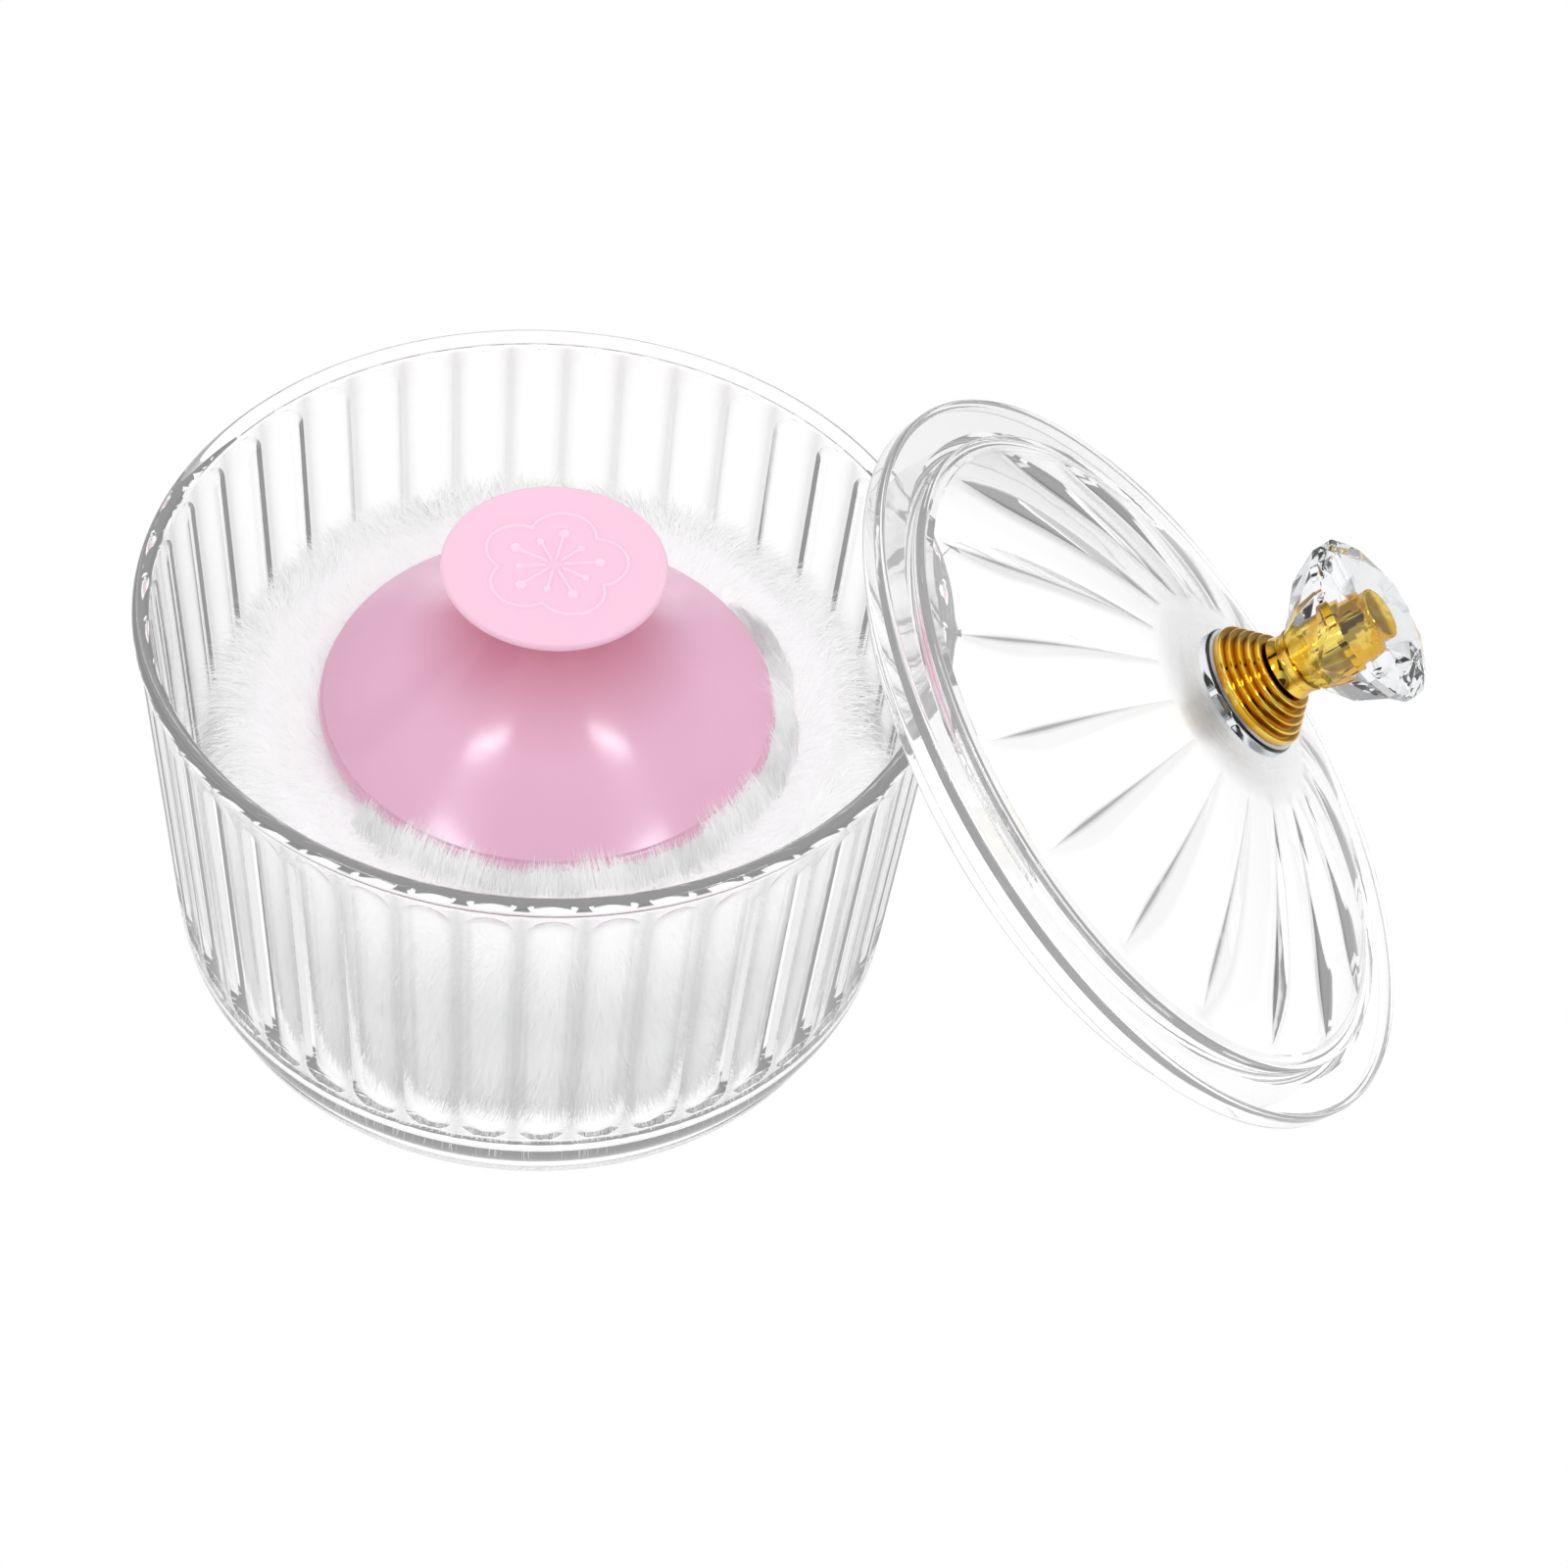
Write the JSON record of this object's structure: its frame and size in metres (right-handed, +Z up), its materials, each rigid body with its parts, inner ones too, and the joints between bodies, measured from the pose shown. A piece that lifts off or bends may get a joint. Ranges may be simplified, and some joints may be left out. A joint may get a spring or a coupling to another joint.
{
  "type": "loose powder compact",
  "caption": "Clear fluted powder pot on a foot ring with a plush puff inside, and its domed clear lid with a crystal knob leaning on the pot's rim.",
  "frame": {"origin": "middle of the object's length and width, on the table that the pot's foot ring and the lid's lower edge stand on", "axes": "+X runs from the pot's axis towards the leaning lid, +Z is up along the pot's axis"},
  "size_m": [0.1648, 0.1028, 0.0721],
  "materials": {
    "clear_pot": "clear colourless moulded plastic, polished",
    "clear_lid": "clear colourless moulded plastic, polished",
    "crystal": "clear faceted plastic, polished",
    "gold": "polished gold plating",
    "steel": "zinc plated",
    "plush": "long soft white pile",
    "foam": "open-cell foam",
    "plate": "plain white disc",
    "pink_bell": "pink moulded plastic, satin gloss",
    "pink_cap": "pink moulded plastic, satin gloss"
  },
  "bodies": {
    "pot": {"pot": "clear_pot"},
    "lid": {"lid_shell": "clear_lid", "knob_collar": "crystal", "knob_base": "gold", "knob_stem": "gold", "knob_crystal": "crystal", "knob_screw": "steel", "knob_washer": "steel"},
    "puff": {"puff_plush": "plush", "puff_foam": "foam", "puff_plate": "plate", "handle_screw": "steel", "handle_bell": "pink_bell", "handle_cap": "pink_cap"}
  },
  "joints": [
    {"name": "lid_lift", "type": "slide", "parent": "pot", "child": "lid", "axis": [0, 0, 1], "range_m": [0, 0.075]},
    {"name": "puff_lift", "type": "slide", "parent": "pot", "child": "puff", "axis": [-0.1478, 0, 0.989], "range_m": [0, 0.075]}
  ]
}
